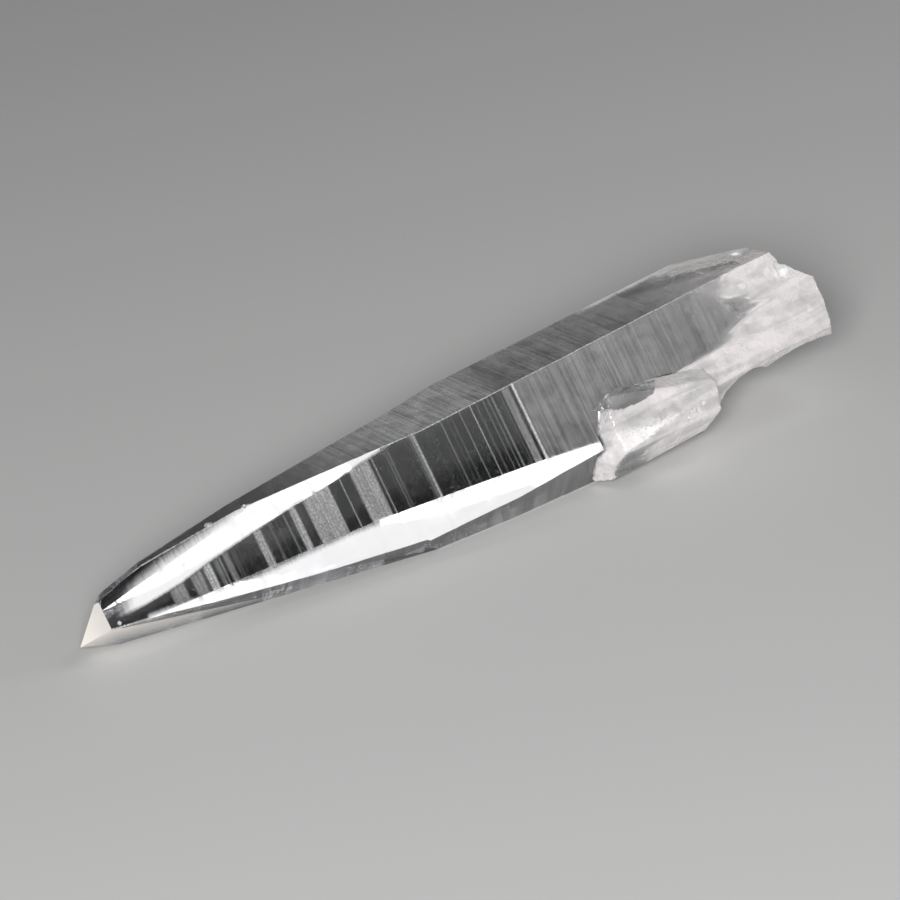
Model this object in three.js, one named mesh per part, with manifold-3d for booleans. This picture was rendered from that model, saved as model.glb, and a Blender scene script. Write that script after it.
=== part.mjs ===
// A lemurian quartz point: one long, clear, six-sided crystal that tapers to a sharp tip. Growth ledges cross
// its faces, its root is broken and lumpy, and a short side crystal has grown into its lower front edge.
// Millimetres, +Z up. It lies on one prism face on z = 0, with its tip toward -X and its front toward -Y.
import * as THREE from "three";
import { mergeVertices } from "three/addons/utils/BufferGeometryUtils.js";
import Module from "manifold-3d";

const wasm = await Module();
wasm.setup();

// The crystal's axis climbs from the tip to the root, because the crystal tapers and lies on a face.
const AXIS_CLIMB = THREE.MathUtils.degToRad(5);
const REST_REACH_AT_TIP = 1.4;
const REST_TURN = -90;
const REST_SPARE = 1;

// A place in the crystal is (along, side, rise): along its axis from the tip, toward the front, and up.
// A face's turn is the direction it looks round the axis, in degrees: 0 to the front, 90 up.
// A face's reach is its distance from the axis, as [along, reach] points joined by straight stretches.
// Bands are growth ledges: stretches of a face that stand back from it, as [from, to, depth].
// The rest face is made with a little to spare and then cut flat in one piece.
const PRISM_START = -3;
const PRISM_END = 150;
const LEDGE_RUN = 0.3;
const REST_FACE = {
  turn: REST_TURN,
  reach: [
    [PRISM_START, REST_REACH_AT_TIP + REST_SPARE + PRISM_START * Math.tan(AXIS_CLIMB)],
    [PRISM_END, REST_REACH_AT_TIP + REST_SPARE + PRISM_END * Math.tan(AXIS_CLIMB)],
  ],
  bands: [],
};
const LOWER_FRONT_FACE = {
  turn: -30,
  reach: [[0, 0.1], [12, 1.9], [30, 5.4], [57.2, 9.2], [57.7, 9.5], [75, 9.8], [130, 8.0]],
  bands: [[24, 26.5, 0.2], [38, 40.5, 0.2], [70, 72, 0.2], [82, 86, 0.2]],
};
const FRONT_FACE = {
  turn: 30,
  reach: [[0, 3.6], [65, 6.2], [130, 7.4]],
  bands: [
    [14.5, 17.3, 0.2], [21, 22.7, 0.25], [31, 32.7, 0.25], [38, 39.5, 0.2], [40.7, 46.1, 0.25],
    [49.8, 55.2, 0.25], [62, 63.4, 0.3], [82, 83.4, 0.25], [95, 99, 0.2], [108, 111, 0.2], [120, 122, 0.2],
  ],
};
const TOP_FACE = {
  turn: 90,
  reach: [[0, 7.0], [12, 9.2], [30, 10.7], [65, 10.5], [130, 12.6]],
  bands: [[52, 54, 0.2], [61, 65, 0.25], [76, 78, 0.2], [90, 96, 0.25], [112, 114, 0.2]],
};
const UPPER_BACK_FACE = {
  turn: 150,
  reach: [[0, 4.6], [12, 6.2], [30, 8.4], [75, 14.1], [124, 14.4], [138, 8.2], [PRISM_END, 5]],
  bands: [
    [16, 18, 0.2], [27, 32, 0.2], [43, 45, 0.2], [58, 64, 0.25],
    [70, 71.5, 0.2], [88, 95, 0.25], [106, 109, 0.25],
  ],
};
const LOWER_BACK_FACE = {
  turn: 210,
  reach: [[0, 4.5], [25, 7.2], [47, 9.5], [57, 10.5], [87, 11.0], [130, 9.5]],
  bands: [[19, 23, 0.25], [34, 36, 0.25], [40.7, 46.1, 0.3], [66, 73, 0.3], [78, 80, 0.3], [98, 103, 0.3]],
};
const PRISM_FACES = [REST_FACE, LOWER_FRONT_FACE, FRONT_FACE, TOP_FACE, UPPER_BACK_FACE, LOWER_BACK_FACE];

// The tip: flat facets that meet in one point. A facet's lean is how far it turns toward the tip, in degrees.
const APEX = [-0.93, -0.26, 1.12];
const TIP_FACETS = [
  { turn: 30, lean: 38.2 },
  { turn: -42, lean: 10 },
  { turn: -90, lean: 23 },
  { turn: 149, lean: 37.3 },
  { turn: 210, lean: 38.2 },
];
// A long steep facet takes off the top edge behind the tip.
const SHOULDER = { turn: 100, lean: 15.2, reach: 5.78 };

// The broken root: the crystal ends in one lumpy dome, hollowed underneath where a piece has come away.
const DOME_FROM = 120;
const DOME = { at: [122, -2, 0], radii: [23.6, 18.8, 18.8], lump: 1.0, lumpSize: 3.2, detail: 15 };
const UNDERCUT = { at: [135, 4, -12.8], radii: [18.5, 18, 11.2], lump: 0.8, lumpSize: 3.0, detail: 11 };
const BREAKS = [
  { at: [163, -11.6, 20.4], radii: [30, 30, 30], lump: 0.8, lumpSize: 2.6, detail: 16 },
  { at: [124.5, 9.5, -9.4], radii: [7.6, 7, 7.8], lump: 0.5, lumpSize: 2.4, detail: 7 },
  { at: [139, -13, 2], radii: [9, 7, 10], lump: 0.5, lumpSize: 2.5, detail: 6 },
  { at: [149, 3, -3], radii: [5, 6, 5], lump: 0.4, lumpSize: 2.0, detail: 5 },
  { at: [145, -7, -4], radii: [5.5, 6, 5], lump: 0.3, lumpSize: 2.0, detail: 5 },
];

// The side crystal, flat-faced and stubby, round its own middle.
const SIDE_MIDDLE = [104, 5.96, -2.33];
const SIDE_BLOCK = 40;
const SIDE_FACETS = [
  { turn: 30, lean: 1, reach: 5.5 },
  { turn: 4, lean: -2, reach: 6.1 },
  { turn: -30, lean: 0, reach: 6.0 },
  { turn: -78, lean: -3, reach: 5.9 },
  { turn: 75, lean: -9, reach: 6.2 },
  { turn: 150, lean: 0, reach: 3 },
  { turn: 210, lean: 0, reach: 3 },
  { turn: -30, lean: 62, reach: 12.6 },
  { turn: 30, lean: 50, reach: 10.6 },
  { turn: 90, lean: 58, reach: 10.8 },
  { turn: -10, lean: -80, reach: 11.5 },
  { turn: -70, lean: -45, reach: 9.9 },
  { turn: 60, lean: -50, reach: 11.6 },
];

// Small pits and edge chips, each one a lumpy ball taken out: [along, side, rise, radius].
const PITS = [
  [108.0, 12.3, -2.1, 0.9], [109.9, 12.3, -2.0, 1.2], [111.6, 12.1, -1.7, 0.9], [96.0, 11.2, 0.2, 0.9],
  [136.7, 4.0, 9.1, 2.2], [134.3, 3.4, 10.4, 1.8], [138.9, 7.2, 3.2, 1.3], [132.9, 8.4, 1.4, 1.5],
  [133.0, -3.0, 13.0, 1.6], [25.1, -1.0, 10.7, 0.8], [32.0, -0.4, 11.0, 0.9], [5.0, 2.6, 3.6, 0.5],
];
const PIT_LUMP = 0.12;
const PIT_DETAIL = 3;

const QUARTZ = { color: 0xf3f0f4, roughness: 0.06, metalness: 0, transparent: true, opacity: 0.45 };

const rad = THREE.MathUtils.degToRad;

// The place (along, side, rise) as a vector: x along the axis, y away from the front, z up.
function place([along, side, rise]) {
  return new THREE.Vector3(along, -side, rise);
}

// The outward direction of a face or facet.
function outward({ turn, lean = 0 }) {
  const across = Math.cos(rad(lean));
  return place([-Math.sin(rad(lean)), across * Math.cos(rad(turn)), across * Math.sin(rad(turn))]);
}

// A face's reach at a place along the axis, ledges included.
function reachAt(face, along) {
  const points = face.reach;
  let i = 1;
  while (i < points.length - 1 && points[i][0] < along) i += 1;
  const [[from, near], [to, far]] = [points[i - 1], points[i]];
  const t = THREE.MathUtils.clamp((along - from) / (to - from), 0, 1);
  let reach = THREE.MathUtils.lerp(near, far, t);
  for (const [start, end, depth] of face.bands) {
    const inside = Math.min(along - start, end - along) / LEDGE_RUN;
    reach -= depth * THREE.MathUtils.clamp(inside, 0, 1);
  }
  return reach;
}

// The corner where two neighbouring faces meet, at a place along the axis.
function cornerAt(along, first, second) {
  const [a, b] = [rad(first.turn), rad(second.turn)];
  const [p, q] = [reachAt(first, along), reachAt(second, along)];
  const side = (p * Math.sin(b) - q * Math.sin(a)) / Math.sin(b - a);
  const rise = (q * Math.cos(a) - p * Math.cos(b)) / Math.sin(b - a);
  return place([along, side, rise]);
}

// Every place along the axis where some face bends or a ledge starts or ends.
function stations() {
  const all = new Set([PRISM_START, PRISM_END]);
  for (const face of PRISM_FACES) {
    for (const [along] of face.reach) all.add(along);
    for (const [start, end] of face.bands) {
      for (const along of [start, start + LEDGE_RUN, end - LEDGE_RUN, end]) all.add(along);
    }
  }
  return [...all].sort((a, b) => a - b).filter((along, i, list) => i === 0 || along - list[i - 1] > 0.01);
}

// A closed solid from an indexed or plain geometry.
function solid(geometry) {
  geometry.deleteAttribute("normal");
  geometry.deleteAttribute("uv");
  const merged = mergeVertices(geometry, 1e-5);
  const vertProperties = new Float32Array(merged.attributes.position.array);
  const triVerts = new Uint32Array(merged.index.array);
  return new wasm.Manifold(new wasm.Mesh({ numProp: 3, vertProperties, triVerts }));
}

// The six-sided prism: a ring of six corners at each station, joined by flat strips and closed at both ends.
function prism() {
  const rings = stations().map((along) =>
    PRISM_FACES.map((face, i) => cornerAt(along, face, PRISM_FACES[(i + 1) % PRISM_FACES.length])),
  );
  const sides = PRISM_FACES.length;
  const last = (rings.length - 1) * sides;
  const index = [];
  for (let i = 1; i < sides - 1; i += 1) {
    index.push(0, i, i + 1);
    index.push(last, last + i + 1, last + i);
  }
  for (let ring = 0; ring < last; ring += sides) {
    for (let i = 0; i < sides; i += 1) {
      const j = (i + 1) % sides;
      index.push(ring + i, ring + sides + i, ring + sides + j);
      index.push(ring + i, ring + sides + j, ring + j);
    }
  }
  const geometry = new THREE.BufferGeometry().setFromPoints(rings.flat());
  geometry.setIndex(index);
  return solid(geometry);
}

// All the room beyond a flat facet, to be taken away. The facet is given by its direction and a point on it.
function beyond(facet, point) {
  const room = 400;
  const direction = outward(facet);
  const block = new THREE.BoxGeometry(room, room, room);
  block.translate(0, 0, room / 2);
  block.applyQuaternion(new THREE.Quaternion().setFromUnitVectors(new THREE.Vector3(0, 0, 1), direction));
  block.translate(point.x, point.y, point.z);
  return solid(block);
}

// The point of a facet that is nearest to a middle, where the facet's reach is measured from that middle.
function nearest(facet, middle) {
  return outward(facet).multiplyScalar(facet.reach).add(middle);
}

// How far a lumpy surface stands out at a point, from -1 to 1: crossed waves that bend each other.
function lumps(point, size) {
  const [x, y, z] = [point.x / size, point.y / size, point.z / size];
  const first = Math.sin(x + 0.7 + 0.8 * Math.sin(z * 0.9));
  const second = Math.sin(y * 1.3 + 1.9 + 0.8 * Math.sin(x * 1.1));
  const third = Math.sin(z * 1.1 + 4.1 + 0.8 * Math.sin(y * 0.8));
  return (first + second + third) / 3;
}

// A ball stretched to three radii, its surface raised and sunk by lumps.
function lumpyBall({ at, radii, lump, lumpSize, detail }) {
  const geometry = new THREE.IcosahedronGeometry(1, detail);
  const middle = place(at);
  const points = geometry.attributes.position;
  const point = new THREE.Vector3();
  const out = new THREE.Vector3();
  for (let i = 0; i < points.count; i += 1) {
    out.fromBufferAttribute(points, i);
    point.set(out.x * radii[0], out.y * radii[1], out.z * radii[2]).add(middle);
    point.addScaledVector(out, lump * lumps(point, lumpSize));
    points.setXYZ(i, point.x, point.y, point.z);
  }
  return solid(geometry);
}

// The long crystal with its faceted tip and its broken root.
function mainCrystal() {
  const apex = place(APEX);
  const restFace = { turn: REST_TURN, lean: THREE.MathUtils.radToDeg(AXIS_CLIMB) };
  let crystal = prism().subtract(beyond(restFace, place([0, 0, -REST_REACH_AT_TIP])));
  for (const facet of TIP_FACETS) crystal = crystal.subtract(beyond(facet, apex));
  crystal = crystal.subtract(beyond(SHOULDER, nearest(SHOULDER, place([0, 0, 0]))));
  const afterDomeStart = beyond({ turn: 0, lean: -90 }, place([DOME_FROM, 0, 0]));
  const root = crystal.intersect(afterDomeStart).intersect(lumpyBall(DOME));
  crystal = crystal.subtract(afterDomeStart).add(root);
  for (const bite of [UNDERCUT, ...BREAKS]) crystal = crystal.subtract(lumpyBall(bite));
  return crystal;
}

// The side crystal: a block cut down to its facets.
function sideCrystal() {
  const middle = place(SIDE_MIDDLE);
  const block = new THREE.BoxGeometry(SIDE_BLOCK, SIDE_BLOCK, SIDE_BLOCK);
  block.translate(middle.x, middle.y, middle.z);
  let crystal = solid(block);
  for (const facet of SIDE_FACETS) crystal = crystal.subtract(beyond(facet, nearest(facet, middle)));
  return crystal;
}

// Both crystals in one solid, with the pits and chips taken out.
function quartz() {
  let stone = mainCrystal().add(sideCrystal());
  for (const [along, side, rise, radius] of PITS) {
    const pit = {
      at: [along, side, rise],
      radii: [radius, radius, radius],
      lump: PIT_LUMP * radius,
      lumpSize: radius / 2,
      detail: PIT_DETAIL,
    };
    stone = stone.subtract(lumpyBall(pit));
  }
  const { vertProperties, triVerts } = stone.getMesh();
  const geometry = new THREE.BufferGeometry();
  geometry.setAttribute("position", new THREE.BufferAttribute(vertProperties, 3));
  geometry.setIndex(new THREE.BufferAttribute(triVerts, 1));
  geometry.computeVertexNormals();
  return geometry;
}

const point = new THREE.Mesh(quartz(), new THREE.MeshStandardMaterial(QUARTZ));
point.name = "quartz_point";
point.rotation.y = -AXIS_CLIMB;

// The origin is under the middle of the crystal's box, on the surface it lies on.
const box = new THREE.Box3().setFromObject(point, true);
const middle = box.getCenter(new THREE.Vector3());
point.position.set(-middle.x, -middle.y, -box.min.z);

const group = new THREE.Group();
group.add(point);

export default group;
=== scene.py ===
# %% [markdown]
# # A clear quartz point with growth ledges
#
# This lesson dresses one stone: a long, six-sided, water-clear crystal that tapers to a sharp tip. Fine
# ledges cross its faces like the rungs of a ladder, its root is broken and milky, and a short milky
# crystal has grown into its lower front edge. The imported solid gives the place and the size. Every shape
# here is worked out in the crystal's own measure, in millimetres, and is moved onto the solid at the end.

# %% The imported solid
import math

import bmesh
import bpy
import numpy as np
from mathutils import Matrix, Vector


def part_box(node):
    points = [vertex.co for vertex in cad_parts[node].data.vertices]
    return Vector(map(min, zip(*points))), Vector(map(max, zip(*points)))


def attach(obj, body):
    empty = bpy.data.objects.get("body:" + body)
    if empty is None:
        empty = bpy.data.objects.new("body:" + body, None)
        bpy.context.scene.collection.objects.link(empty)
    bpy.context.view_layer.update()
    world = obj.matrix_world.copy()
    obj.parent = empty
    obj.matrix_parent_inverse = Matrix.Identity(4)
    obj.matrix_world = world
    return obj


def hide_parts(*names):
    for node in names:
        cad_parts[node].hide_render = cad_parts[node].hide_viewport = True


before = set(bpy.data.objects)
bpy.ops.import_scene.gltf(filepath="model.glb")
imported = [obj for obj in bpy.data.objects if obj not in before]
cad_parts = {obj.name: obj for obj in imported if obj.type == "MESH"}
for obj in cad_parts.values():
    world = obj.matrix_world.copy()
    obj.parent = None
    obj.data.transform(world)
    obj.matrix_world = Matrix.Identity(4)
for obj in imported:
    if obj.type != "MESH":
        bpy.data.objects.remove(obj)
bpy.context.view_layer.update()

SOLID = "quartz_point"
lowest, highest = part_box(SOLID)
print("the solid measures", [round(1000 * side, 1) for side in highest - lowest], "mm")

# %% [markdown]
# ## The crystal's own measure
#
# A place in the stone is (along, side, rise): millimetres along its axis from the tip, toward the front,
# and up. A face is told by its turn, the direction it looks round the axis, with 0 to the front and 90
# up, and by its reach, its distance from the axis. The crystal lies on one face, so its axis climbs a
# little toward the root. A measure like this is worth its few lines, because a crystal face is then one
# number.

# %% From the crystal's measure to the frame
MM = 0.001
AXIS_CLIMB = math.radians(5)
APEX = (-0.93, -0.26, 1.12)
REST_REACH_AT_TIP = 1.4
AXIS_BEFORE_MIDDLE = 1.037


def place(along, side, rise):
    """A point or points of the crystal as x along the axis, y away from the front, z up."""
    return np.stack(np.broadcast_arrays(along, -np.asarray(side, float), rise), -1).astype(float)


def outward(turn, lean=0.0):
    """The direction a face looks in. A lean turns it toward the tip, by degrees."""
    turn, lean = math.radians(turn), math.radians(lean)
    across = math.cos(lean)
    return place(-math.sin(lean), across * math.cos(turn), across * math.sin(turn))


CLIMBING = np.array([
    [math.cos(AXIS_CLIMB), 0, -math.sin(AXIS_CLIMB)],
    [0, 1, 0],
    [math.sin(AXIS_CLIMB), 0, math.cos(AXIS_CLIMB)],
])
crystal_at = np.array([
    lowest.x / MM - (CLIMBING @ place(*APEX))[0],
    -AXIS_BEFORE_MIDDLE,
    REST_REACH_AT_TIP * math.cos(AXIS_CLIMB),
])


def to_frame(points):
    """Crystal points, turned by the axis's climb, moved onto the solid, and in metres."""
    return (points @ CLIMBING.T + crystal_at) * MM


print("the crystal's measure starts at", crystal_at.round(2), "mm")

# %% [markdown]
# ## The faces and their ledges
#
# A real point like this doesn't taper smoothly. It grew in layers, and each layer stops a little short of
# the last, so the faces carry ledges: broad ones that can be felt with a nail, and hundreds of hair-fine
# ones. They could be painted on, but clear stone bends light at every step. So each ledge is a real step
# in the face's reach, and the finest ones fade out part of the way across. The broad ones are listed with
# the depth that they have in the plain CAD solid. Here they are only a share of that deep, because clear
# stone makes much of every step, and on the faces behind they are shallower still.

# %% Six prism faces, in order round the axis
PRISM_START, PRISM_END = -3.0, 150.0
LEDGE_RUN = 0.7
LEDGE_SHARE = 0.15
LEDGE_SHARE_BEHIND = 0.04
REST_FACE = {
    "turn": -90,
    "reach": [
        (PRISM_START, REST_REACH_AT_TIP + PRISM_START * math.tan(AXIS_CLIMB)),
        (PRISM_END, REST_REACH_AT_TIP + PRISM_END * math.tan(AXIS_CLIMB)),
    ],
    "bands": [],
}
LOWER_FRONT_FACE = {
    "turn": -30,
    "reach": [(0, 0.1), (12, 1.9), (30, 5.4), (57.2, 9.2), (57.7, 9.5), (75, 9.8), (130, 8.0)],
    "bands": [(24, 26.5, 0.2), (38, 40.5, 0.2), (70, 72, 0.2), (82, 86, 0.2)],
}
FRONT_FACE = {
    "turn": 30,
    "reach": [(0, 3.6), (65, 6.2), (130, 7.4)],
    "bands": [
        (14.5, 17.3, 0.2), (21, 22.7, 0.25), (31, 32.7, 0.25), (38, 39.5, 0.2), (40.7, 46.1, 0.25),
        (49.8, 55.2, 0.25), (62, 63.4, 0.3), (82, 83.4, 0.25), (95, 99, 0.2), (108, 111, 0.2),
        (120, 122, 0.2),
    ],
}
TOP_FACE = {
    "turn": 90,
    "reach": [(0, 7.0), (12, 9.2), (30, 10.7), (65, 10.5), (130, 12.6)],
    "bands": [(52, 54, 0.2), (61, 65, 0.25), (76, 78, 0.2), (90, 96, 0.25), (112, 114, 0.2)],
}
UPPER_BACK_FACE = {
    "turn": 150,
    "reach": [(0, 4.6), (12, 6.2), (30, 8.4), (75, 14.1), (124, 14.4), (138, 8.2), (PRISM_END, 5)],
    "bands": [
        (16, 18, 0.2), (27, 32, 0.2), (43, 45, 0.2), (58, 64, 0.25),
        (70, 71.5, 0.2), (88, 95, 0.25), (106, 109, 0.25),
    ],
}
LOWER_BACK_FACE = {
    "turn": 210,
    "reach": [(0, 4.5), (25, 7.2), (47, 9.5), (57, 10.5), (87, 11.0), (130, 9.5)],
    "bands": [
        (19, 23, 0.25), (34, 36, 0.25), (40.7, 46.1, 0.3), (66, 73, 0.3), (78, 80, 0.3), (98, 103, 0.3),
    ],
}
PRISM_FACES = [REST_FACE, LOWER_FRONT_FACE, FRONT_FACE, TOP_FACE, UPPER_BACK_FACE, LOWER_BACK_FACE]
FACES_BEHIND = [UPPER_BACK_FACE, LOWER_BACK_FACE]
print(len(PRISM_FACES), "prism faces with", sum(len(face["bands"]) for face in PRISM_FACES), "broad ledges")


# %% A face's reach along the axis
def steps(along, starts, ends, depths, run):
    """The sum of ledges: each stands back by its depth between its start and its end, over a short run."""
    inside = np.minimum(along[..., None] - starts, ends - along[..., None]) / run
    return (np.clip(inside, 0, 1) * depths).sum(-1)


def reach_at(face, along):
    """A face's reach: straight stretches between its points, less the shown share of its broad ledges."""
    reach = np.interp(along, *np.transpose(face["reach"]))
    share = LEDGE_SHARE_BEHIND if face in FACES_BEHIND else LEDGE_SHARE
    if face["bands"]:
        reach = reach - share * steps(along, *np.transpose(face["bands"]), LEDGE_RUN)
    return reach


FINE_LEDGES = 130
FINE_FROM, FINE_TO = 10, 126
FINE_LENGTHS = (0.25, 1.6)
FINE_DEPTHS = (0.001, 0.006)
FINE_SHARE_BEHIND = 0.2
FINE_RUN = 0.16


def fine_reach(face, along, seed):
    """Hair-fine ledges right across a face, each a few thousandths of a millimetre deep."""
    chance = np.random.default_rng(seed)
    starts = chance.uniform(FINE_FROM, FINE_TO, FINE_LEDGES)
    ends = starts + chance.uniform(*FINE_LENGTHS, FINE_LEDGES)
    depths = chance.uniform(*FINE_DEPTHS, FINE_LEDGES)
    share = FINE_SHARE_BEHIND if face in FACES_BEHIND else 1
    return share * steps(along, starts, ends, depths, FINE_RUN)


print("reach of the front face at 40 mm:", reach_at(FRONT_FACE, np.array([40.0])).round(2))

# %% [markdown]
# ## The long prism
#
# Its section is a hexagon that changes along the axis. Two neighbouring faces meet in a corner, and a
# corner's place follows from the two reaches by plain geometry. So the prism is a grid of two parameters:
# how far along the axis, and how far round the section. Nine columns to a face are enough for growth
# lines that start and stop part of the way across. The front face has three times as many, because the
# edges of its two light bands cross the columns at a slant.

# %% The corners of the section, and lines that fade
GROWTH_LINES = 170
LINES_FROM, LINES_TO = 8, 128
LINE_LENGTHS = (0.12, 0.9)
LINE_DEPTHS = (0.001, 0.004)
LINE_REACHES = (0.12, 0.6)


def corner_at(first, second, first_reach, second_reach):
    """Where the lines of two faces cross in the section: side and rise from the two turns and reaches."""
    a, b = math.radians(first["turn"]), math.radians(second["turn"])
    side = (first_reach * math.sin(b) - second_reach * math.sin(a)) / math.sin(b - a)
    rise = (second_reach * math.cos(a) - first_reach * math.cos(b)) / math.sin(b - a)
    return side, rise


def growth_lines(along, across, seed):
    """Fine lines that fade: each is a shallow step along the axis times a smooth hump across the face."""
    chance = np.random.default_rng(seed)
    starts = chance.uniform(LINES_FROM, LINES_TO, GROWTH_LINES)
    lengths = chance.uniform(*LINE_LENGTHS, GROWTH_LINES)
    depths = chance.uniform(*LINE_DEPTHS, GROWTH_LINES)
    middles = chance.uniform(0, 1, GROWTH_LINES)
    widths = chance.uniform(*LINE_REACHES, GROWTH_LINES)
    inside = np.minimum(along[:, None] - starts, starts + lengths - along[:, None]) / FINE_RUN
    hump = np.clip(1 - ((across[:, None] - middles) / widths) ** 2, 0, 1)
    return (np.clip(inside, 0, 1) * depths) @ hump.T


print("every face but the lowest gets", GROWTH_LINES, "growth lines")

# %% The grid of the prism
STATION_STEP = 0.18
FACE_COLUMNS = 9
FRONT_COLUMNS = 27
LEDGE_SEED, LINE_SEED = 10, 40


def prism_grid():
    """Rows are stations along the axis. Columns go round the section, from corner to corner of each face."""
    along = np.arange(PRISM_START, PRISM_END + STATION_STEP, STATION_STEP)
    reaches = [
        reach_at(face, along) - (fine_reach(face, along, LEDGE_SEED + i) if face is not REST_FACE else 0)
        for i, face in enumerate(PRISM_FACES)
    ]
    count = len(PRISM_FACES)
    corners = []
    for i, face in enumerate(PRISM_FACES):
        following = (i + 1) % count
        turned = corner_at(face, PRISM_FACES[following], reaches[i], reaches[following])
        corners.append(place(along, *turned))
    columns = []
    for i, face in enumerate(PRISM_FACES):
        count_across = FRONT_COLUMNS if face is FRONT_FACE else FACE_COLUMNS
        across = np.linspace(0, 1, count_across, endpoint=False)
        start, end = corners[i - 1], corners[i]
        points = start[:, None] + (end - start)[:, None] * across[:, None]
        if face is not REST_FACE:
            fading = np.sin(np.pi * across) ** 0.5
            depths = growth_lines(along, across, LINE_SEED + i) * fading
            points -= depths[..., None] * outward(face["turn"])
        columns.append(points)
    return np.concatenate(columns, 1)


grid = prism_grid()
print("the prism's grid has", grid.shape[0], "stations of", grid.shape[1], "points")


# %% From a grid to a closed mesh
def grid_quads(rows, columns):
    """The four corners of each cell of a grid that closes round its columns."""
    first = np.arange(rows - 1)[:, None] * columns + np.arange(columns)
    beside = np.roll(np.arange(columns), -1) + np.arange(rows - 1)[:, None] * columns
    return np.stack([first, first + columns, beside + columns, beside], -1).reshape(-1, 4)


def tube_mesh(name, grid):
    """A grid that closes round its columns, with a flat many-sided face at each end."""
    rows, columns = grid.shape[:2]
    last = (rows - 1) * columns
    faces = grid_quads(rows, columns).tolist()
    faces += [list(range(columns)), list(range(last + columns - 1, last - 1, -1))]
    mesh = bpy.data.meshes.new(name)
    mesh.from_pydata(grid.reshape(-1, 3), [], faces)
    return mesh


def shell_mesh(name, grid, start, end):
    """A grid that closes round its columns and ends in a point at each end, as a globe at its poles."""
    rows, columns = grid.shape[:2]
    start_at, end_at = rows * columns, rows * columns + 1
    last = (rows - 1) * columns
    ring, following = np.arange(columns), np.roll(np.arange(columns), -1)
    fans = [
        np.stack([np.full(columns, start_at), ring, following], -1),
        np.stack([np.full(columns, end_at), last + following, last + ring], -1),
    ]
    mesh = bpy.data.meshes.new(name)
    points = np.concatenate([grid.reshape(-1, 3), [start, end]])
    mesh.from_pydata(points, [], grid_quads(rows, columns).tolist() + np.concatenate(fans).tolist())
    return mesh


stone_mesh = tube_mesh("stone", grid)
print("the prism has", len(stone_mesh.polygons), "faces")

# %% A flat cut
CUT_TOLERANCE_MM = 1e-6


def cut(mesh, direction, point):
    """Takes away what lies beyond a plane, and closes the cut with one flat face."""
    form = bmesh.new()
    form.from_mesh(mesh)
    bmesh.ops.bisect_plane(
        form, geom=form.verts[:] + form.edges[:] + form.faces[:], dist=CUT_TOLERANCE_MM,
        plane_co=point, plane_no=direction, clear_outer=True,
    )
    rim = [edge for edge in form.edges if edge.is_boundary]
    bmesh.ops.holes_fill(form, edges=rim, sides=0)
    form.to_mesh(mesh)
    form.free()


print("points within", CUT_TOLERANCE_MM, "mm of a cut are taken to lie on it")

# %% [markdown]
# ## The tip
#
# Five flat facets meet in one point. On a real crystal they are the terminal faces, and they are the
# smoothest faces of all. A flat cut is the truest way to make them: each one takes away the room beyond a
# plane through the point. One more long, steep facet takes off the top edge behind the tip.

# %% Cutting the tip facets
TIP_FACETS = [(30, 38.2), (-42, 10), (-90, 23), (149, 37.3), (210, 38.2)]
SHOULDER_TURN, SHOULDER_LEAN, SHOULDER_REACH = 100, 15.2, 5.78

for turn, lean in TIP_FACETS:
    cut(stone_mesh, outward(turn, lean), place(*APEX))
shoulder = outward(SHOULDER_TURN, SHOULDER_LEAN)
cut(stone_mesh, shoulder, shoulder * SHOULDER_REACH)
print("with its tip cut, the prism has", len(stone_mesh.polygons), "faces")

# %% [markdown]
# ## Lumps, grain and chips
#
# The root broke off its rock, and broken quartz is lumpy at large scale, scaly at the next, and sugary
# close up. Crossed waves that bend each other make the lumps. Waves in many chance directions make the
# grain. For the scales, every place takes the tilt of the nearest of many scattered seeds, which gives
# small flat flakes with sharp steps between them.

# %% Lumps and grain
WAVES = 20
WAVE_PACES = (0.7, 1.5)


def lumps(points, size):
    """Three crossed waves, each bent by the next, from -1 to 1. The solid has the same ones."""
    x, y, z = (points / size).T
    first = np.sin(x + 0.7 + 0.8 * np.sin(z * 0.9))
    second = np.sin(y * 1.3 + 1.9 + 0.8 * np.sin(x * 1.1))
    third = np.sin(z * 1.1 + 4.1 + 0.8 * np.sin(y * 0.8))
    return (first + second + third) / 3


def grain(points, size, seed):
    """Waves in chance directions, about one size long, added up and levelled to about -1 to 1."""
    chance = np.random.default_rng(seed)
    ways = chance.normal(size=(WAVES, 3))
    ways /= np.linalg.norm(ways, axis=1)[:, None]
    paces = chance.uniform(*WAVE_PACES, (WAVES, 1)) * math.tau / size
    return np.sin(points @ (ways * paces).T + chance.uniform(0, math.tau, WAVES)).sum(1) / math.sqrt(WAVES)


two_points = place([10, 20], 3, 4)
print("lumps", lumps(two_points, 3).round(2), "grain", grain(two_points, 3, 0).round(2))

# %% Flakes
FLAKE_TABLE = 4093
CELL_MIX = np.array([73, 1931, 2819])
SEED_OFF_MIDDLE = 0.45


def flakes(points, size, seed):
    """Each point takes the tilt of its nearest seed: its offset from the seed times the tilt, from -1 to 1.
    There is one seed in each cell of a lattice, pushed off the middle by chance, so only the 27 cells
    round a point are looked at."""
    chance = np.random.default_rng(seed)
    seeds = chance.uniform(-1, 1, (FLAKE_TABLE, 6))
    scaled = points / size
    cell = np.floor(scaled).astype(int)
    best = np.full(len(points), np.inf)
    push = np.zeros(len(points))
    for step in np.ndindex(3, 3, 3):
        looked = cell + np.array(step) - 1
        rows = seeds[(looked @ CELL_MIX) % FLAKE_TABLE]
        offset = scaled - looked - 0.5 - SEED_OFF_MIDDLE * rows[:, :3]
        far = (offset**2).sum(1)
        nearer = far < best
        best[nearer] = far[nearer]
        push[nearer] = (offset * rows[:, 3:]).sum(1)[nearer]
    return np.clip(push, -1, 1)


print("flakes", flakes(two_points, 3, 0).round(2))

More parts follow.
